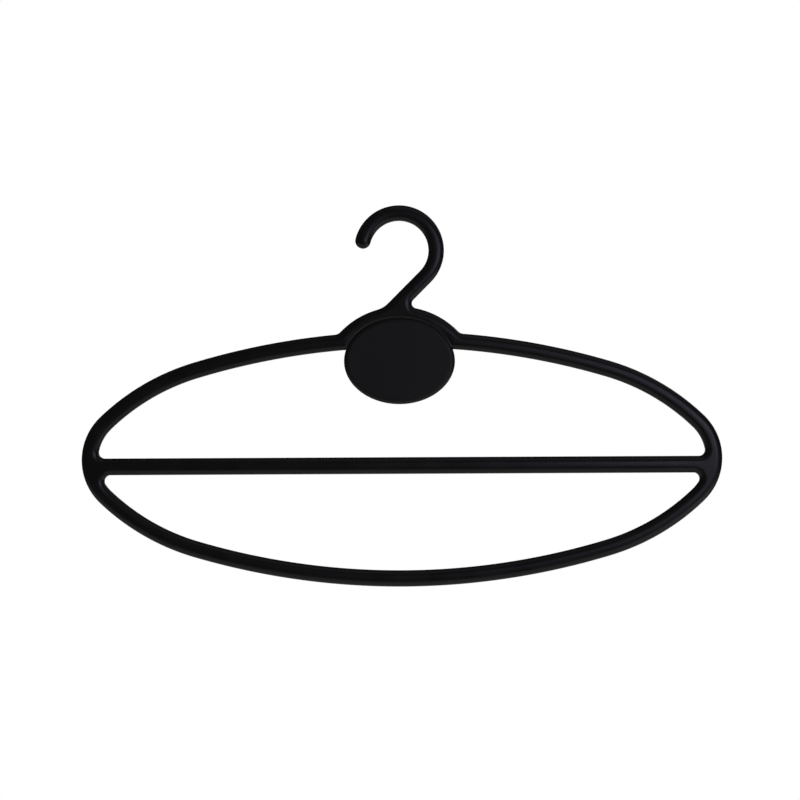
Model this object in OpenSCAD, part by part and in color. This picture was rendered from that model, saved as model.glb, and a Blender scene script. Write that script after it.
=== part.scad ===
// Scarf hanger: an oval rim with a crossbar, a label medallion under an arched yoke, and a fixed hook.
// One plastic moulding, drawn as the members that meet at its section planes.
// Every member is drawn as a plan in the XY plane, with its thickness along Z, and then stood upright.
// The origin is the middle of the hook's throat. +Z is up and the front faces -Y.

/* [Rim] */
// Overall width of the oval rim
rim_w = 380; // [350:1:420]
// Overall height of the oval rim
rim_h = 151.4; // [140:0.2:165]
// Outer radius of the tight bend at each end
end_r = 35.2; // [33:0.1:38]
// Half angle that the end bend covers
end_angle = 46.2; // [44:0.1:48]
// Angle from the long axis where the shoulder arc runs into the long rail
shoulder_angle = 73.4; // [72:0.1:75]
// Width of the rim bar
rim_bar_w = 9.6; // [9:0.1:11]

/* [Crossbar] */
// Width of the crossbar
crossbar_w = 9.9; // [9:0.1:11]
// How far the crossbar's middle line lies below the middle of the rim
crossbar_drop = 3.9; // [0:0.1:6]
// Radius of the fillets where the crossbar meets the rim
crossbar_fillet = 3.6; // [2:0.1:5]

/* [Bar section] */
// Thickness of every bar from front to back
bar_t = 8; // [7:0.1:10]
// Width of the rounding along each edge of a bar, seen from the front
edge_round = 4.2; // [3:0.1:4.4]
// Flat land along the parting line
parting_land = 2; // [1.5:0.1:3]

/* [Medallion] */
// Width of the medallion
medallion_w = 65.8; // [60:0.2:70]
// Height of the medallion
medallion_h = 51.2; // [46:0.2:54]
// Height of the medallion's middle above the middle of the rim
medallion_rise = 58.1; // [56:0.1:60]
// How far each face of the medallion stands proud of the bars
medallion_proud = 0.3; // [0:0.1:1]
// Width of the rounding along the medallion's edge
medallion_round = 2.6; // [1.5:0.1:4]

/* [Yoke] */
// Width of the yoke over the top of the medallion
crest_w = 6.55; // [6.1:0.05:9]
// Radius of the yoke's outer arc
yoke_r = 48.5; // [46:0.5:54]
// Radius of the fillets where the yoke runs into the rim
yoke_fillet = 5; // [2:0.5:10]
// How far the yoke's arms reach along the rim on each side of the middle
yoke_reach = 45; // [44:0.5:50]
// Width of the eased lip round the medallion
lip_w = 1.8; // [1:0.1:2.5]
// Depth of the eased lip round the medallion
lip_depth = 1.4; // [0.5:0.1:2]
// Gap between the medallion and the yoke's wall
seat_gap = 0.15; // [0.1:0.05:0.3]

/* [Hook] */
// Inner radius of the hook
hook_r = 17.5; // [15:0.1:20]
// Width of the hook's bar
hook_w = 9.2; // [8.8:0.1:10]
// Height of the hook's middle above the middle of the rim
hook_rise = 123.8; // [118:0.2:130]
// How far the hook and the medallion stand left of the middle of the rim
head_shift = 1.2; // [0:0.1:3]
// Angle of the hook's tip, from the horizontal on the right, counted over the top
tip_angle = 165; // [150:1:180]
// Angle below the horizontal at which the hook's arc runs out into the neck
neck_angle = 45; // [42:1:48]
// Radius of the flare between the neck and the yoke's left arm
flare_r = 15; // [10:0.5:20]
// Radius of the crotch between the neck and the yoke's right arm
crotch_r = 3; // [2:0.1:4]

/* [Hidden] */
$fn = 96;

plastic = "#1b1b1e";
plastic_face = "#202024";

// Steps of the rounding on the blended members, and the most that an arc of theirs turns per step
round_steps = 6;
arc_step = 6;
// Straight run of the crossbar that belongs to each end, past its fillets
stub = 2;

round_t = (bar_t - parting_land) / 2;
rim_c = [head_shift, -hook_rise];
medallion_c = [0, medallion_rise - hook_rise];
medallion_t = bar_t + 2 * medallion_proud;
bar_rings = rounding(edge_round, round_t, bar_t);

// The rim is an oval of three tangent arcs in each quarter: end, shoulder and long rail.
// The shoulder's and the rail's radii follow from the overall width and height.
half_w = rim_w / 2;
half_h = rim_h / 2;
left_over = [half_w - end_r * (1 - cos(end_angle)), half_h - end_r * sin(end_angle)];
shoulder_run = [cos(end_angle) - cos(shoulder_angle), sin(shoulder_angle) - sin(end_angle)];
rail_run = [cos(shoulder_angle), 1 - sin(shoulder_angle)];
run_det = shoulder_run.x * rail_run.y - shoulder_run.y * rail_run.x;
shoulder_r = (left_over.x * rail_run.y - left_over.y * rail_run.x) / run_det;
rail_r = (shoulder_run.x * left_over.y - shoulder_run.y * left_over.x) / run_det;

// Centres of the arcs in the quarter at the upper right, from the middle of the rim
end_c = [half_w - end_r, 0];
shoulder_c = end_c + (end_r - shoulder_r) * dir(end_angle);
rail_c = [0, half_h - rail_r];

yoke_c = medallion_c + [0, medallion_h / 2 + seat_gap + crest_w - yoke_r];

function dir(a) = [cos(a), sin(a)];

// Where two circles cross, on the given side of the line between their middles
function crossing(c1, r1, c2, r2, side) =
  let (d = norm(c2 - c1), u = (c2 - c1) / d, a = (r1 * r1 - r2 * r2 + d * d) / (2 * d))
  c1 + a * u + side * sqrt(r1 * r1 - a * a) * [-u.y, u.x];

function bearing(from, to) = atan2(to.y - from.y, to.x - from.x);

// A point of an outline is its place, the way in from it that the bars' rounding takes,
// and the way in from it that the lip round the medallion takes.
// Along an arc, into is 1 where the material lies on the middle's side and -1 where it lies outside.
function arc_edge(c, r, a0, a1, into) =
  let (n = max(2, ceil(abs(a1 - a0) / min(arc_step, 180 / r))))
  [for (i = [0:n]) let (u = dir(a0 + (a1 - a0) * i / n)) [c + r * u, -into * u, [0, 0]]];

// The rounding of an edge, as rings from the back to the front. A ring is how far it lies in
// from the outline, and its height. The rounding is w wide and h high on a plate of thickness t.
function rounding(w, h, t) = [for (face = [-1, 1], i = [0:round_steps])
  let (a = face * 90 * (face < 0 ? 1 - i / round_steps : i / round_steps))
  [w * (1 - cos(a)), face * (t / 2 - h) + h * sin(a)]];

// How far the lip round the medallion is eased at this height
function easing(z) = lip_w * max(0, abs(z) - (bar_t / 2 - lip_depth)) / lip_depth;

// Twice the area of a triangle, positive where it runs anticlockwise
function twice_area(a, b, c) = (b.x - a.x) * (c.y - a.y) - (b.y - a.y) * (c.x - a.x);

function covers(a, b, c, p) =
  twice_area(a, b, p) >= 0 && twice_area(b, c, p) >= 0 && twice_area(c, a, p) >= 0;

// Whether the corner i of the loop can be cut off with nothing of the loop inside the cut
function is_ear(p, loop, i) =
  let (n = len(loop), a = loop[(i + n - 1) % n], b = loop[i], c = loop[(i + 1) % n])
  twice_area(p[a], p[b], p[c]) > 0 &&
  len([for (k = loop) if (k != a && k != b && k != c && covers(p[a], p[b], p[c], p[k])) k]) == 0;

function next_ear(p, loop, i) = is_ear(p, loop, i % len(loop)) ? i % len(loop) : next_ear(p, loop, i + 1);

// Cuts a flat outline into triangles, one ear after another
function triangles(p, loop, from = 0) =
  len(loop) == 3 ? [loop] :
  let (n = len(loop), i = next_ear(p, loop, from))
  concat([[loop[(i + n - 1) % n], loop[i], loop[(i + 1) % n]]],
    triangles(p, [for (k = [0:n - 1]) if (k != i) loop[k]], i + 1));

// A plate with a rounded outline, drawn in rings from the back to the front
module rounded_plate(edge, rings) {
  n = len(edge);
  last = len(rings) - 1;
  points = [for (ring = rings, e = edge)
    let (p = e[0] + ring[0] * e[1] + easing(ring[1]) * e[2]) [p.x, p.y, ring[1]]];
  sides = [for (k = [0:last - 1], i = [0:n - 1]) let (j = (i + 1) % n, q = k * n)
    each [[q + i, q + n + i, q + n + j], [q + i, q + n + j, q + j]]];
  face = triangles([for (i = [0:n - 1]) points[last * n + i]], [for (i = [0:n - 1]) i]);
  polyhedron(points, concat(sides, face,
    [for (t = face) [t[2] + last * n, t[1] + last * n, t[0] + last * n]]), convexity = 8);
}

// Section of a bar: rounded front and back, with the parting land along both sides
module bar_section(w) {
  square([w, parting_land], center = true);
  square([w - 2 * edge_round, bar_t], center = true);
  for (side = [0, 1], face = [0, 1])
    mirror([side, 0]) mirror([0, face])
      translate([w / 2 - edge_round, parting_land / 2])
        intersection() {
          scale([edge_round, round_t]) circle(r = 1);
          square([edge_round, round_t]);
        }
}

// A bar bent along an arc whose outer radius is r
module bent_bar(c, r, w, a0, a1) {
  translate(c) rotate_extrude(angle = a1 - a0, start = a0) translate([r - w / 2, 0]) bar_section(w);
}

// A bar from one point along X
module straight_bar(start, run, w) {
  translate(start) rotate([90, 0, 90]) linear_extrude(run) bar_section(w);
}

module upright() {
  rotate([90, 0, 0]) children();
}

// Places a member of the right half of the rim on the left or right, at the top or bottom
module quarter(side, level) {
  translate(rim_c) mirror([side == "left" ? 1 : 0, 0]) mirror([0, level == "bottom" ? 1 : 0]) children();
}

module shoulder(side, level) {
  color(plastic) upright() quarter(side, level)
    bent_bar(shoulder_c, shoulder_r, rim_bar_w, end_angle, shoulder_angle);
}

// A long rail stops square at the yoke's arm, whose place is measured from the medallion
module top_rail(side) {
  arm = side == "left" ? arm_angle_at(-yoke_reach) : arm_angle_at(yoke_reach);
  a0 = side == "left" ? arm : shoulder_angle;
  a1 = side == "left" ? 180 - shoulder_angle : arm;
  color(plastic) upright() translate(rim_c) bent_bar(rail_c, rail_r, rim_bar_w, a0, a1);
}

// Angle on the long rail of a point this far right of the medallion's middle
function arm_angle_at(x) = acos((x + medallion_c.x - rim_c.x) / (rail_r - rim_bar_w / 2));

module bottom_rail() {
  color(plastic) upright() translate(rim_c)
    bent_bar(-rail_c, rail_r, rim_bar_w, 180 + shoulder_angle, 360 - shoulder_angle);
}

// An end bend of the rim with its run of crossbar. The fillets touch the bend's inner side and the bar.
fillet_reach = end_r - rim_bar_w - crossbar_fillet;
upper_fillet_y = -crossbar_drop + crossbar_w / 2 + crossbar_fillet;
lower_fillet_y = -crossbar_drop - crossbar_w / 2 - crossbar_fillet;
upper_fillet_c = end_c + [sqrt(pow(fillet_reach, 2) - pow(upper_fillet_y, 2)), upper_fillet_y];
lower_fillet_c = end_c + [sqrt(pow(fillet_reach, 2) - pow(lower_fillet_y, 2)), lower_fillet_y];
stub_x = min(upper_fillet_c.x, lower_fillet_c.x) - stub;

function end_outline() = concat(
  arc_edge(end_c, end_r, -end_angle, end_angle, 1),
  arc_edge(end_c, end_r - rim_bar_w, end_angle, bearing(end_c, upper_fillet_c), -1),
  tail(arc_edge(upper_fillet_c, crossbar_fillet, bearing(end_c, upper_fillet_c), -90, -1)),
  [[[stub_x, upper_fillet_y - crossbar_fillet], [0, -1], [0, 0]]],
  [[[stub_x, lower_fillet_y + crossbar_fillet], [0, 1], [0, 0]]],
  arc_edge(lower_fillet_c, crossbar_fillet, 90, bearing(end_c, lower_fillet_c), -1),
  tail(arc_edge(end_c, end_r - rim_bar_w, bearing(end_c, lower_fillet_c), -end_angle, -1)));

function tail(list) = [for (i = [1:len(list) - 1]) list[i]];
function but_last(list) = [for (i = [0:len(list) - 2]) list[i]];

module rim_end(side) {
  color(plastic) upright() quarter(side, "top") rounded_plate(end_outline(), bar_rings);
}

module crossbar() {
  color(plastic) upright()
    straight_bar(rim_c + [-stub_x, -crossbar_drop], 2 * stub_x, crossbar_w);
}

// The hook: an arc with a full round tip. Both are drawn from the tip's own section plane.
module hook() {
  mid_r = hook_r + hook_w / 2;
  color(plastic) upright() rotate([0, 0, tip_angle]) {
    rotate_extrude(angle = -(tip_angle + neck_angle)) translate([mid_r, 0]) bar_section(hook_w);
    translate([mid_r, 0]) rotate_extrude(angle = 180) intersection() {
      bar_section(hook_w);
      translate([0, -bar_t]) square([hook_w, 2 * bar_t]);
    }
  }
}

// Yoke: the neck comes down square from the end of the hook's arc, and blends into both arms
neck_start = (hook_r + hook_w / 2) * dir(-neck_angle);
neck_dir = dir(-90 - neck_angle);
neck_out = dir(-neck_angle);

// The middle of a fillet that touches one edge of the neck and the yoke's outer arc
function neck_fillet_c(side, r) =
  let (
    q = neck_start + side * (hook_w / 2 + r) * neck_out - yoke_c,
    along = q * neck_dir,
    off = q - along * neck_dir)
  yoke_c + off - sqrt(pow(yoke_r + r, 2) - off * off) * neck_dir;

flare_c = neck_fillet_c(-1, flare_r);
crotch_c = neck_fillet_c(1, crotch_r);
rail_mid = rim_c + rail_c;
right_arm_c = crossing(yoke_c, yoke_r + yoke_fillet, rail_mid, rail_r + yoke_fillet, 1);
left_arm_c = crossing(yoke_c, yoke_r + yoke_fillet, rail_mid, rail_r + yoke_fillet, -1);

function yoke_outline() = concat(
  arc_edge(rail_mid, rail_r, arm_angle_at(yoke_reach), bearing(rail_mid, right_arm_c), 1),
  tail(arc_edge(right_arm_c, yoke_fillet, bearing(right_arm_c, rail_mid) + 360,
    bearing(right_arm_c, yoke_c) + 360, -1)),
  tail(arc_edge(yoke_c, yoke_r, bearing(yoke_c, right_arm_c), bearing(yoke_c, crotch_c), 1)),
  tail(arc_edge(crotch_c, crotch_r, bearing(crotch_c, yoke_c) + 360, 180 - neck_angle, -1)),
  [[neck_start + hook_w / 2 * neck_out, -neck_out, [0, 0]]],
  [[neck_start - hook_w / 2 * neck_out, neck_out, [0, 0]]],
  arc_edge(flare_c, flare_r, -neck_angle, bearing(flare_c, yoke_c), -1),
  tail(arc_edge(yoke_c, yoke_r, bearing(yoke_c, flare_c), bearing(yoke_c, left_arm_c), 1)),
  tail(arc_edge(left_arm_c, yoke_fillet, bearing(left_arm_c, yoke_c), bearing(left_arm_c, rail_mid), -1)),
  tail(arc_edge(rail_mid, rail_r, bearing(rail_mid, left_arm_c), arm_angle_at(-yoke_reach), 1)),
  but_last(arc_edge(rail_mid, rail_r - rim_bar_w, arm_angle_at(-yoke_reach),
    bearing(rail_mid, left_corner), -1)),
  [corner_edge(left_corner, left_corner_at)],
  [for (i = [0:wall_steps]) wall_edge(left_wall + (right_wall - left_wall) * i / wall_steps)],
  [corner_edge(right_corner, right_corner_at)],
  tail(arc_edge(rail_mid, rail_r - rim_bar_w, bearing(rail_mid, right_corner),
    arm_angle_at(yoke_reach), -1)));

// The yoke's inner wall follows the medallion from one arm's underside over the top to the other's
function wall_point(a) = medallion_c
  + [(medallion_w / 2 + seat_gap) * cos(a), (medallion_h / 2 + seat_gap) * sin(a)];
function wall_in(a) = let (n = [medallion_h * cos(a), medallion_w * sin(a)]) n / norm(n);
function wall_edge(a) = [wall_point(a), [0, 0], wall_in(a)];

// Angle on the wall, between low and high, where it crosses the underside of the rail
function corner_angle(low, high, steps = 24) =
  let (mid = (low + high) / 2)
  steps == 0 ? mid :
  norm(wall_point(mid) - rail_mid) < rail_r - rim_bar_w ? corner_angle(mid, high, steps - 1) :
  corner_angle(low, mid, steps - 1);

right_corner_at = corner_angle(0, 60);
left_corner_at = corner_angle(180, 120);
right_corner = wall_point(right_corner_at);
left_corner = wall_point(left_corner_at);

// The first points of the wall lie just past the rounding of the arms' undersides
wall_steps = 40;
first_turn = (edge_round + lip_w / 2) / (medallion_h / 2) * 180 / PI;
right_wall = right_corner_at + first_turn;
left_wall = left_corner_at - first_turn;

// A corner slides along the wall as the arm's edge rounds, and along the arm as the lip is eased
function corner_edge(p, a) =
  let (arm = dir(bearing(rail_mid, p)), wall = wall_in(a), u = [-wall.y, wall.x], v = [-arm.y, arm.x])
  [p, u / (arm * u), v / (wall * v)];

// The medallion's outline, whose rounding leads in square to it
medallion_steps = 72;
medallion_outline = [for (i = [0:medallion_steps - 1]) let (a = 360 * i / medallion_steps)
  [medallion_c + [medallion_w / 2 * cos(a), medallion_h / 2 * sin(a)], -wall_in(a), [0, 0]]];

module yoke() {
  color(plastic) upright() rounded_plate(yoke_outline(), bar_rings);
}

module medallion() {
  color(plastic_face) upright() rounded_plate(medallion_outline,
    rounding(medallion_round, medallion_round, medallion_t));
}

hook();
yoke();
medallion();
top_rail("left");  // left_top_rail
top_rail("right");  // right_top_rail
shoulder("left", "top");  // left_top_shoulder
shoulder("right", "top");  // right_top_shoulder
rim_end("left");  // left_end
rim_end("right");  // right_end
shoulder("left", "bottom");  // left_bottom_shoulder
shoulder("right", "bottom");  // right_bottom_shoulder
bottom_rail();
crossbar();
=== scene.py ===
import bpy, bmesh
from math import atan2, ceil, cos, degrees, pi, radians, sin
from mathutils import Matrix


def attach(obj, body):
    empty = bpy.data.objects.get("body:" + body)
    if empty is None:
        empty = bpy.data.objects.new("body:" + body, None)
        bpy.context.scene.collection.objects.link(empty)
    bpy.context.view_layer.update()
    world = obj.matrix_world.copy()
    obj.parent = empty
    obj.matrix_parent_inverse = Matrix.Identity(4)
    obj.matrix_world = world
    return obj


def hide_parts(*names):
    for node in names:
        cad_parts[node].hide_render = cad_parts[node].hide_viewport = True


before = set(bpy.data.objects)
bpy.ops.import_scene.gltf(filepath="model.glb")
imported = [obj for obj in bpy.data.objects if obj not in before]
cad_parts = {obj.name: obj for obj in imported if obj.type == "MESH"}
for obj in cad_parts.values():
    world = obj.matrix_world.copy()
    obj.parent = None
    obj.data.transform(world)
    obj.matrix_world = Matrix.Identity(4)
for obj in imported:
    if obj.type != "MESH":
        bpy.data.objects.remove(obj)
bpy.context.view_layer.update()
mm = 0.001


def toLinear(hexColour):
    # an sRGB hex colour as the linear values that the sockets take
    channels = [int(hexColour[i:i + 2], 16) / 255 for i in (1, 3, 5)]
    linear = [c / 12.92 if c <= 0.04045 else ((c + 0.055) / 1.055) ** 2.4 for c in channels]
    return (*linear, 1)


def addNode(tree, kind, settings={}, links={}):
    # a link is (node, output), any other value is set on the socket itself
    node = tree.nodes.new(kind)
    for name, value in settings.items():
        setattr(node, name, value)
    for socket, value in links.items():
        if isinstance(value, tuple) and isinstance(value[0], bpy.types.Node):
            tree.links.new(value[0].outputs[value[1]], node.inputs[socket])
        else:
            node.inputs[socket].default_value = value
    return node


# black high-impact polystyrene, injection moulded in a polished tool: a deep cool black that
# carries soft satin lights, with faint flow clouds and the fine orange peel of the mould
satinPolystyrene = {
    "name": "moulded_satin_polystyrene",
    "deep": "#070707", "flow": "#0C0C0D",    # the melt's own black and its flow clouds
    "ior": 1.59, "specular": 0.27,           # the rubber in the melt takes half of the gloss
    "smooth": 0.26, "dull": 0.34,            # roughness, polished and dull spots of the tool
    "cloud": 14, "peel": 1.3,                # mm, size of the clouds and of the orange peel
    "peelDepth": 0.004,                      # mm
}
# the same melt on the label face, where the tool was blasted, so its lights are wide and dull
matteLabelPolystyrene = {
    "name": "moulded_matte_label_polystyrene",
    "deep": "#080808", "flow": "#0C0C0C",
    "ior": 1.59, "specular": 0.27,
    "smooth": 0.42, "dull": 0.5,
    "cloud": 18, "peel": 0.8,
    "peelDepth": 0.003,
}
# how both patterns are drawn, soft and without fine detail
pattern = {
    "cloudDetail": 3, "cloudRoughness": 0.5,
    "cloudLow": 0.3, "cloudHigh": 0.7,       # the span of the noise that the roughness follows
    "peelDetail": 2, "peelRoughness": 0.45, "peelStrength": 0.6,
}


def makePlastic(look):
    material = bpy.data.materials.new(look["name"])
    material.use_nodes = True
    tree = material.node_tree
    tree.nodes.clear()
    place = addNode(tree, "ShaderNodeTexCoord")
    clouds = addNode(tree, "ShaderNodeTexNoise", {}, {
        "Vector": (place, "Object"), "Scale": 1 / (look["cloud"] * mm),
        "Detail": pattern["cloudDetail"], "Roughness": pattern["cloudRoughness"]})
    colour = addNode(tree, "ShaderNodeMix", {"data_type": "RGBA"}, {
        0: (clouds, "Fac"), 6: toLinear(look["deep"]), 7: toLinear(look["flow"])})
    shine = addNode(tree, "ShaderNodeMapRange", {}, {
        "Value": (clouds, "Fac"), "From Min": pattern["cloudLow"], "From Max": pattern["cloudHigh"],
        "To Min": look["smooth"], "To Max": look["dull"]})
    peel = addNode(tree, "ShaderNodeTexNoise", {}, {
        "Vector": (place, "Object"), "Scale": 1 / (look["peel"] * mm),
        "Detail": pattern["peelDetail"], "Roughness": pattern["peelRoughness"]})
    bump = addNode(tree, "ShaderNodeBump", {}, {
        "Height": (peel, "Fac"), "Strength": pattern["peelStrength"],
        "Distance": look["peelDepth"] * mm})
    plastic = addNode(tree, "ShaderNodeBsdfPrincipled", {}, {
        "Base Color": (colour, 2), "Roughness": (shine, 0), "Normal": (bump, 0),
        "IOR": look["ior"], "Specular IOR Level": look["specular"]})
    addNode(tree, "ShaderNodeOutputMaterial", {}, {"Surface": (plastic, 0)})
    return material


satin = makePlastic(satinPolystyrene)
matte = makePlastic(matteLabelPolystyrene)
print("materials made")


# all places from here on are in mm, as (right, up) from the middle of the hook's throat
bar = {
    "thickness": 8, "land": 2,               # the land is the straight stretch at the parting line
    "roundWidth": 4.2, "roundSteps": 8,      # the elliptical rounding on each side of a bar
    "smoothAngle": 32,                       # degrees, sharper edges stay crisp
}
chord = {"turn": 4, "run": 2.5}              # the coarsest step of an arc, in degrees and in mm
near = {"weld": 0.001, "join": 0.01, "cut": 0.1}    # mm, how close counts as the same place
pen = {"at": (0, 0), "cuts": []}             # the end of the outline so far, and its section cuts


def onArc(centre, radius, angle):
    return (centre[0] + radius * cos(radians(angle)), centre[1] + radius * sin(radians(angle)))


def bearing(start, end):
    return degrees(atan2(end[1] - start[1], end[0] - start[0]))


def inScene(spot, depth=0.0):
    return (spot[0] * mm, depth * mm, spot[1] * mm)


def stepsFor(sweep, radius):
    return max(2, ceil(abs(sweep) / min(chord["turn"], degrees(chord["run"] / radius))))


def selectOnly(piece):
    bpy.ops.object.select_all(action='DESELECT')
    piece.select_set(True)
    bpy.context.view_layer.objects.active = piece


def roundHeight():
    return (bar["thickness"] - bar["land"]) / 2


def drawSection(width, centre, radius, angle):
    # a plane whose corners are rounded while it is squeezed, so that they end up elliptical
    bpy.ops.object.select_all(action='DESELECT')
    bpy.ops.mesh.primitive_plane_add(size=1)
    bpy.ops.object.mode_set(mode='EDIT')
    bpy.ops.mesh.select_mode(type='VERT')
    squeeze = roundHeight() / bar["roundWidth"]
    bpy.ops.transform.resize(value=(width * squeeze * mm, bar["thickness"] * mm, 1))
    bpy.ops.mesh.bevel(offset=roundHeight() * mm, segments=bar["roundSteps"], affect='VERTICES')
    bpy.ops.mesh.select_all(action='SELECT')
    bpy.ops.transform.resize(value=(1 / squeeze, 1, 1), center_override=(0, 0, 0))
    bpy.ops.object.mode_set(mode='OBJECT')
    section = bpy.context.object
    section.rotation_euler = (0, -radians(angle), 0)
    section.location = inScene(onArc(centre, radius, angle))
    bpy.ops.object.transform_apply(location=True, rotation=True, scale=True)
    bpy.ops.object.mode_set(mode='EDIT')
    bpy.ops.mesh.select_all(action='SELECT')


def startOutline(spot):
    # one vertex on the front edge of the parting land
    bpy.ops.object.select_all(action='DESELECT')
    bpy.ops.mesh.primitive_plane_add(size=mm, location=inScene(spot, -bar["land"] / 2))
    bpy.ops.object.transform_apply(location=True)
    bpy.ops.object.mode_set(mode='EDIT')
    bpy.ops.mesh.select_mode(type='VERT')
    bpy.ops.mesh.select_all(action='SELECT')
    bpy.ops.mesh.merge(type='CENTER')
    pen["at"] = spot
    pen["cuts"] = []


def lineTo(spot, isCut=False):
    # a cut is a section plane, where the piece meets its neighbour and keeps its full section
    move = (spot[0] - pen["at"][0], spot[1] - pen["at"][1])
    bpy.ops.mesh.extrude_region_move(TRANSFORM_OT_translate={"value": inScene(move)})
    if isCut:
        pen["cuts"].append([(pen["at"][i] + spot[i]) / 2 for i in (0, 1)])
    pen["at"] = spot


def arcTo(centre, radius, angle, way):
    # way is 1 for an anticlockwise arc seen from the front and -1 for a clockwise one
    sweep = way * (way * (angle - bearing(centre, pen["at"])) % 360)
    bpy.ops.mesh.spin(steps=stepsFor(sweep, radius), angle=radians(sweep),
                      center=inScene(centre, -bar["land"] / 2), axis=(0, 1, 0))
    pen["at"] = onArc(centre, radius, angle)


def fillOutline():
    bpy.ops.mesh.select_all(action='SELECT')
    bpy.ops.mesh.remove_doubles(threshold=near["join"] * mm)
    bpy.ops.mesh.edge_face_add()
    if bmesh.from_edit_mesh(bpy.context.object.data).faces[:][0].normal.y > 0:
        bpy.ops.mesh.flip_normals()


def isOnCut(edge):
    middle = (edge.verts[0].co + edge.verts[1].co) / 2
    return any(abs(middle.x - x * mm) + abs(middle.z - z * mm) < near["cut"] * mm
               for x, z in pen["cuts"])


def raisePlate(land, width, height, flatRing):
    # the land's wall goes back from every edge but the cuts, down to the parting plane
    mesh = bpy.context.object.data
    bpy.ops.mesh.select_mode(type='EDGE')
    bpy.ops.mesh.select_all(action='DESELECT')
    for edge in bmesh.from_edit_mesh(mesh).edges:
        edge.select_set(not isOnCut(edge))
    bpy.ops.mesh.extrude_edges_move(TRANSFORM_OT_translate={"value": (0, land / 2 * mm, 0)})
    bpy.ops.mesh.select_mode(type='FACE')
    bpy.ops.mesh.select_all(action='DESELECT')
    for face in bmesh.from_edit_mesh(mesh).faces:
        face.select_set(len(face.verts) > 4)     # the walls have four corners, the outline many
    # rings of an elliptical rounding, and one flat ring that keeps the face beyond it even
    steps = bar["roundSteps"]
    for i in range(steps):
        start, end = radians(90 * i / steps), radians(90 * (i + 1) / steps)
        bpy.ops.mesh.inset(thickness=width * (cos(start) - cos(end)) * mm,
                           depth=height * (sin(end) - sin(start)) * mm, use_boundary=False)
    bpy.ops.mesh.inset(thickness=flatRing * mm, depth=0, use_boundary=False)
    # the back mirrors the front, and the sections are closed
    bpy.ops.object.mode_set(mode='OBJECT')
    bpy.ops.object.modifier_add(type='MIRROR')
    halves = bpy.context.object.modifiers[-1]
    halves.use_axis = (False, True, False)
    halves.merge_threshold = near["join"] * mm
    bpy.ops.object.modifier_apply(modifier=halves.name)
    bpy.ops.object.mode_set(mode='EDIT')
    bpy.ops.mesh.select_all(action='SELECT')
    bpy.ops.mesh.fill_holes(sides=0)
    bpy.ops.mesh.normals_make_consistent(inside=False)
    bpy.ops.object.mode_set(mode='OBJECT')


def raiseBarPlate(flatRing):
    raisePlate(bar["land"], bar["roundWidth"], roundHeight(), flatRing)


def subtract(piece, cutter):
    selectOnly(piece)
    bpy.ops.object.modifier_add(type='BOOLEAN')
    cut = piece.modifiers[-1]
    cut.operation = 'DIFFERENCE'
    cut.object = cutter
    bpy.ops.object.modifier_apply(modifier=cut.name)
    bpy.data.objects.remove(cutter)


def finishPiece(node, plastic):
    bpy.ops.object.mode_set(mode='EDIT')
    bpy.ops.mesh.select_all(action='SELECT')
    bpy.ops.mesh.remove_doubles(threshold=near["weld"] * mm)
    bpy.ops.mesh.normals_make_consistent(inside=False)
    bpy.ops.object.mode_set(mode='OBJECT')
    bpy.ops.object.shade_smooth_by_angle(angle=radians(bar["smoothAngle"]))
    piece = bpy.context.object
    piece.name = node + "_moulding"
    piece.data.materials.clear()
    piece.data.materials.append(plastic)
    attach(piece, "root")
    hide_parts(node)


# the oval rim has three tangent arcs in each quarter: an end, a shoulder and half a rail. Radii are
# those of the outside, and the angles are where one arc hands over to the next
rim = {
    "middle": (1.2, -123.8), "barWidth": 9.6,
    "endOut": 154.8, "endRadius": 35.2, "endAngle": 46.2,
    "shoulderAt": (84.842, 72.951), "shoulderRadius": 136.274, "shoulderAngle": 73.4,
    "railDown": 357.549, "railRadius": 433.249,
    "rightArm": 84.132, "leftArm": 96.190,    # where the top rails meet the yoke's arms
}


def bendBar(node, centre, radius, start, end):
    middle = radius - rim["barWidth"] / 2
    drawSection(rim["barWidth"], centre, middle, start)
    bpy.ops.mesh.spin(steps=stepsFor(end - start, radius), angle=radians(end - start),
                      center=inScene(centre), axis=(0, 1, 0))
    finishPiece(node, satin)


def rimCentre(right, up):
    return (rim["middle"][0] + right, rim["middle"][1] + up)


def makeRails():
    top = rimCentre(0, -rim["railDown"])
    bottom = rimCentre(0, rim["railDown"])
    turn = rim["shoulderAngle"]
    bendBar("right_top_rail", top, rim["railRadius"], turn, rim["rightArm"])
    bendBar("left_top_rail", top, rim["railRadius"], rim["leftArm"], 180 - turn)
    bendBar("bottom_rail", bottom, rim["railRadius"], 180 + turn, 360 - turn)


def makeShoulders():
    right, up = rim["shoulderAt"]
    radius, low, high = rim["shoulderRadius"], rim["endAngle"], rim["shoulderAngle"]
    bendBar("right_top_shoulder", rimCentre(right, -up), radius, low, high)
    bendBar("left_top_shoulder", rimCentre(-right, -up), radius, 180 - high, 180 - low)
    bendBar("left_bottom_shoulder", rimCentre(-right, up), radius, 180 + low, 180 + high)
    bendBar("right_bottom_shoulder", rimCentre(right, up), radius, -high, -low)


makeRails()
makeShoulders()
print("rails and shoulders bent")


# the crossbar, and the two ends that it grows out of
crossbar = {
    "width": 9.9, "height": -127.7, "halfLength": 170.938,
    "filletRadius": 3.6, "upperFillet": (177.503, -119.15), "lowerFillet": (174.138, -136.25),
    "flatRing": 0.15,                        # mm of level face behind the rounding
}


def makeCrossbar():
    right = (rim["middle"][0] + crossbar["halfLength"], crossbar["height"])
    drawSection(crossbar["width"], right, 0, 90)
    bpy.ops.mesh.extrude_region_move(
        TRANSFORM_OT_translate={"value": inScene((-2 * crossbar["halfLength"], 0))})
    finishPiece("crossbar", satin)


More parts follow.
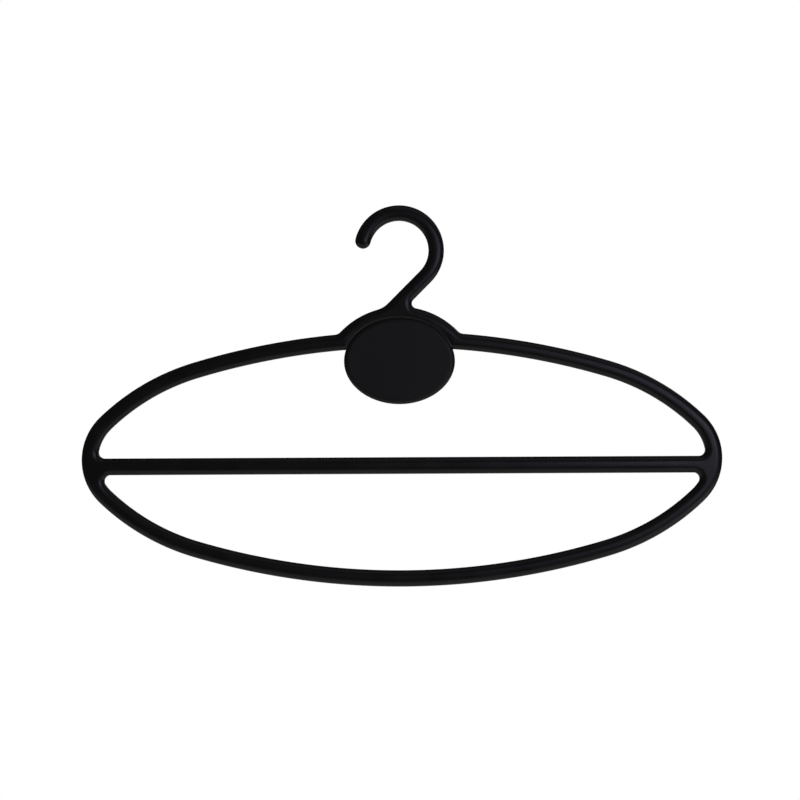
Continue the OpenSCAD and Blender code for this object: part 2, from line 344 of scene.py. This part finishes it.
def makeEnds():
    middle = rimCentre(rim["endOut"], 0)
    outer, inner, high = rim["endRadius"], rim["endRadius"] - rim["barWidth"], rim["endAngle"]
    fillet = crossbar["filletRadius"]
    upper, lower = crossbar["upperFillet"], crossbar["lowerFillet"]
    stub = rim["middle"][0] + crossbar["halfLength"]
    above, below = (crossbar["height"] + side * crossbar["width"] / 2 for side in (1, -1))
    startOutline(onArc(middle, outer, -high))
    arcTo(middle, outer, high, 1)
    lineTo(onArc(middle, inner, high), isCut=True)
    arcTo(middle, inner, bearing(middle, upper), -1)
    arcTo(upper, fillet, -90, -1)
    lineTo((stub, above))
    lineTo((stub, below), isCut=True)
    lineTo((lower[0], below))
    arcTo(lower, fillet, bearing(middle, lower), -1)
    arcTo(middle, inner, -high, -1)
    lineTo(onArc(middle, outer, -high), isCut=True)
    fillOutline()
    raiseBarPlate(crossbar["flatRing"])
    # the left end is its mirror image
    right = bpy.context.object
    selectOnly(right)
    bpy.ops.object.duplicate()
    bpy.ops.transform.mirror(constraint_axis=(True, False, False),
                             center_override=inScene(rim["middle"]))
    bpy.ops.object.transform_apply(location=True, rotation=True, scale=True)
    finishPiece("left_end", satin)
    selectOnly(right)
    finishPiece("right_end", satin)


makeCrossbar()
makeEnds()
print("crossbar and ends made")


# the hook, open to the left, with its full round tip
hook = {
    "middle": (0, 0), "innerRadius": 17.5, "width": 9.2,
    "tipAngle": 165, "neckAngle": -45,
    "flatRing": 0.12,
}


def makeHook():
    middle, inner, outer = hook["middle"], hook["innerRadius"], hook["innerRadius"] + hook["width"]
    neck, end = hook["neckAngle"], hook["tipAngle"]
    tip = onArc(middle, (inner + outer) / 2, end)
    startOutline(onArc(middle, outer, neck))
    arcTo(middle, outer, end, 1)
    arcTo(tip, hook["width"] / 2, end + 180, 1)
    arcTo(middle, inner, neck, -1)
    lineTo(onArc(middle, outer, neck), isCut=True)
    fillOutline()
    raiseBarPlate(hook["flatRing"])
    finishPiece("hook", satin)


makeHook()
print("hook made")


# the medallion, an oval label face a little proud of the bars
medallion = {
    "middle": (0, -65.7), "width": 65.8, "height": 51.2, "thickness": 8.6,
    "round": 2.6, "flatRing": 0.4, "steps": 160,
}


def addOval(halfWidth, halfHeight, depth):
    # a filled oval round the medallion's middle, facing the front
    bpy.ops.object.select_all(action='DESELECT')
    bpy.ops.mesh.primitive_circle_add(vertices=medallion["steps"], radius=mm, fill_type='NGON',
                                      rotation=(pi / 2, 0, 0))
    bpy.ops.object.transform_apply(location=True, rotation=True)
    bpy.ops.object.mode_set(mode='EDIT')
    bpy.ops.mesh.select_all(action='SELECT')
    bpy.ops.transform.resize(value=(halfWidth, 1, halfHeight), center_override=(0, 0, 0))
    bpy.ops.transform.translate(value=inScene(medallion["middle"], depth))


def makeMedallion():
    pen["cuts"] = []                         # it stands free, so its edge is rounded all the way
    land = medallion["thickness"] - 2 * medallion["round"]
    addOval(medallion["width"] / 2, medallion["height"] / 2, -land / 2)
    raisePlate(land, medallion["round"], medallion["round"], medallion["flatRing"])
    finishPiece("medallion", matte)


# the yoke that arches over it: the neck's flare, the crotch, the band and an arm to each rail
yoke = {
    "middle": (0, -81.9), "radius": 48.5,
    "armFillet": 5, "rightFillet": (38.435, -44.685), "leftFillet": (-38.658, -44.916),
    "flareRadius": 15, "flare": (-17.253, -20.789),
    "crotchRadius": 3, "crotch": (10.517, -31.485),
    "flatRing": 0.12,
    "seatGap": 0.15, "lipWidth": 1.3, "lipDepth": 0.75,    # the lip eased round the medallion
    "overlap": 0.6, "overlapRise": 0.2,      # how far the plate runs into the medallion's edge
    "cutterPast": 2,                         # how far the cutter goes on from the lip's foot
}


def makeSeat():
    # the cutter for the eased lip round the medallion, front and back; from the foot of each lip
    # the plate rises again into the medallion's rounded edge
    halfWidth = medallion["width"] / 2 + yoke["seatGap"]
    halfHeight = medallion["height"] / 2 + yoke["seatGap"]
    inside = bar["thickness"] / 2 - yoke["lipDepth"]
    past = yoke["cutterPast"]
    ease = yoke["lipWidth"] / yoke["lipDepth"] * past
    bite = yoke["seatGap"] + yoke["overlap"]
    addOval(halfWidth + ease, halfHeight + ease, inside + past)
    at, size = inside + past, (halfWidth + ease, halfHeight + ease)
    rise = inside + yoke["overlapRise"]
    for depth, grow in ((inside, 0), (rise, -bite), (-rise, -bite), (-inside, 0),
                        (-inside - past, ease)):
        newSize = (halfWidth + grow, halfHeight + grow)
        bpy.ops.mesh.extrude_region_move(
            TRANSFORM_OT_translate={"value": (0, (depth - at) * mm, 0)})
        bpy.ops.transform.resize(value=(newSize[0] / size[0], 1, newSize[1] / size[1]),
                                 center_override=inScene(medallion["middle"], depth))
        at, size = depth, newSize
    bpy.ops.mesh.select_all(action='SELECT')
    bpy.ops.mesh.normals_make_consistent(inside=False)
    bpy.ops.object.mode_set(mode='OBJECT')
    return bpy.context.object


def makeYoke():
    rail, radius = rimCentre(0, -rim["railDown"]), rim["railRadius"]
    under = radius - rim["barWidth"]
    middle, throat, neck = yoke["middle"], hook["middle"], hook["neckAngle"]
    inner, outer = hook["innerRadius"], hook["innerRadius"] + hook["width"]
    flare, crotch = yoke["flare"], yoke["crotch"]
    startOutline(onArc(rail, radius, rim["rightArm"]))
    arcTo(rail, radius, bearing(rail, yoke["rightFillet"]), 1)
    arcTo(yoke["rightFillet"], yoke["armFillet"], bearing(yoke["rightFillet"], middle), -1)
    arcTo(middle, yoke["radius"], bearing(middle, crotch), 1)
    arcTo(crotch, yoke["crotchRadius"], neck + 180, -1)
    lineTo(onArc(throat, outer, neck))
    lineTo(onArc(throat, inner, neck), isCut=True)
    lineTo(onArc(flare, yoke["flareRadius"], neck))
    arcTo(flare, yoke["flareRadius"], bearing(flare, middle), -1)
    arcTo(middle, yoke["radius"], bearing(middle, yoke["leftFillet"]), 1)
    arcTo(yoke["leftFillet"], yoke["armFillet"], bearing(yoke["leftFillet"], rail), -1)
    arcTo(rail, radius, rim["leftArm"], 1)
    lineTo(onArc(rail, under, rim["leftArm"]), isCut=True)
    arcTo(rail, under, rim["rightArm"], -1)
    lineTo(onArc(rail, radius, rim["rightArm"]), isCut=True)
    fillOutline()
    raiseBarPlate(yoke["flatRing"])
    plate = bpy.context.object
    subtract(plate, makeSeat())
    finishPiece("yoke", satin)


makeMedallion()
makeYoke()
print("medallion and yoke made")


# the studio is in metres; a radiance of 1 is white
studio = {
    "target": (0.0002, 0, -0.0888),          # middle of the photograph
    "distance": 1.5, "viewWidth": 0.4748,    # how much the camera takes in at the target
    "roll": 0.27, "sensor": 36,              # degrees, and mm
    "floorSize": 2.4, "floorAt": (0, 0.5, -0.6),
    "floorPaint": "#C0C0C0",                 # the board as the plastic mirrors it
    "floorSeen": "#FFFFFF",                  # the board as the camera sees it
    "fadeStart": 0.3, "fadeEnd": 1.15,       # from the board's middle
    "white": "#FFFFFF",
    "roomSeen": 0.05, "roomLight": 0.75,     # what the plastic mirrors, and what lights it
}
softboxes = {
    "softbox_above": {
        "at": (0.5, -0.5, 1.1), "turn": (20, 0, 20), "size": (1.4, 1.0),
        "radiance": 0.26, "colour": "#F0EDFF"},
    "softbox_right": {                       # the cool sheen on the hook and the right half
        "at": (0.62, -1.25, 0.05), "turn": (87, 0, 26), "size": (0.8, 0.5),
        "radiance": 2.0, "colour": "#E2DDFF"},
    "softbox_low": {
        "at": (0.5, -0.35, -0.55), "turn": (129, 0, 49), "size": (0.6, 0.5),
        "radiance": 0.5, "colour": "#FFFFFF"},
    "softbox_behind": {                      # for views of the back
        "at": (0.9, 1.1, 0.5), "turn": (67, 0, 141), "size": (0.8, 0.8),
        "radiance": 1.5, "colour": "#F0EDFF"},
}


def makeFloor():
    # a pale board that keeps the shadow and, to the camera, fades into the white room round it
    bpy.ops.object.select_all(action='DESELECT')
    bpy.ops.mesh.primitive_plane_add(size=studio["floorSize"], location=studio["floorAt"])
    floor = bpy.context.object
    floor.name = "studio_floor"
    material = bpy.data.materials.new("matt_white_board")
    material.use_nodes = True
    tree = material.node_tree
    tree.nodes.clear()
    place = addNode(tree, "ShaderNodeTexCoord")
    reach = addNode(tree, "ShaderNodeVectorMath", {"operation": 'LENGTH'}, {0: (place, "Object")})
    fade = addNode(tree, "ShaderNodeMapRange", {"interpolation_type": 'SMOOTHSTEP'}, {
        "Value": (reach, "Value"), "From Min": studio["fadeStart"], "From Max": studio["fadeEnd"]})
    path = addNode(tree, "ShaderNodeLightPath")
    paint = addNode(tree, "ShaderNodeMix", {"data_type": "RGBA"}, {
        0: (path, "Is Camera Ray"),
        6: toLinear(studio["floorPaint"]), 7: toLinear(studio["floorSeen"])})
    white = addNode(tree, "ShaderNodeMath", {"operation": 'MULTIPLY'}, {
        0: (fade, 0), 1: (path, "Is Camera Ray")})
    board = addNode(tree, "ShaderNodeBsdfDiffuse", {}, {"Color": (paint, 2)})
    room = addNode(tree, "ShaderNodeEmission", {}, {"Color": toLinear(studio["white"])})
    blend = addNode(tree, "ShaderNodeMixShader", {}, {0: (white, 0), 1: (board, 0), 2: (room, 0)})
    addNode(tree, "ShaderNodeOutputMaterial", {}, {"Surface": (blend, 0)})
    floor.data.materials.append(material)


def addSoftbox(name, box):
    turn = [radians(angle) for angle in box["turn"]]
    bpy.ops.object.light_add(type='AREA', location=box["at"], rotation=turn)
    lamp = bpy.context.object
    lamp.name = name
    lamp.data.shape = 'RECTANGLE'
    width, height = box["size"]
    lamp.data.size, lamp.data.size_y = width, height
    lamp.data.energy = box["radiance"] * pi * width * height
    lamp.data.color = toLinear(box["colour"])[:3]
    lamp.visible_camera = False


def lightStudio():
    world = bpy.data.worlds.new("white_studio")
    bpy.context.scene.world = world
    world.use_nodes = True
    tree = world.node_tree
    tree.nodes.clear()
    path = addNode(tree, "ShaderNodeLightPath")
    dim = addNode(tree, "ShaderNodeMapRange", {}, {
        "Value": (path, "Is Glossy Ray"),
        "To Min": studio["roomLight"], "To Max": studio["roomSeen"]})
    level = addNode(tree, "ShaderNodeMath", {"operation": 'MAXIMUM'}, {
        0: (dim, 0), 1: (path, "Is Camera Ray")})
    sky = addNode(tree, "ShaderNodeBackground", {}, {
        "Color": toLinear(studio["white"]), "Strength": (level, 0)})
    addNode(tree, "ShaderNodeOutputWorld", {}, {"Surface": (sky, 0)})
    for name, box in softboxes.items():
        addSoftbox(name, box)


def placeCamera():
    x, y, z = studio["target"]
    bpy.ops.object.camera_add(location=(x, y - studio["distance"], z),
                              rotation=(radians(90), radians(studio["roll"]), 0))
    camera = bpy.context.object
    camera.name = "photo_camera"
    camera.data.sensor_width = studio["sensor"]
    camera.data.lens = studio["sensor"] * studio["distance"] / studio["viewWidth"]
    bpy.context.scene.camera = camera


makeFloor()
lightStudio()
placeCamera()
bpy.context.scene.view_settings.view_transform = 'Standard'
print("studio ready")
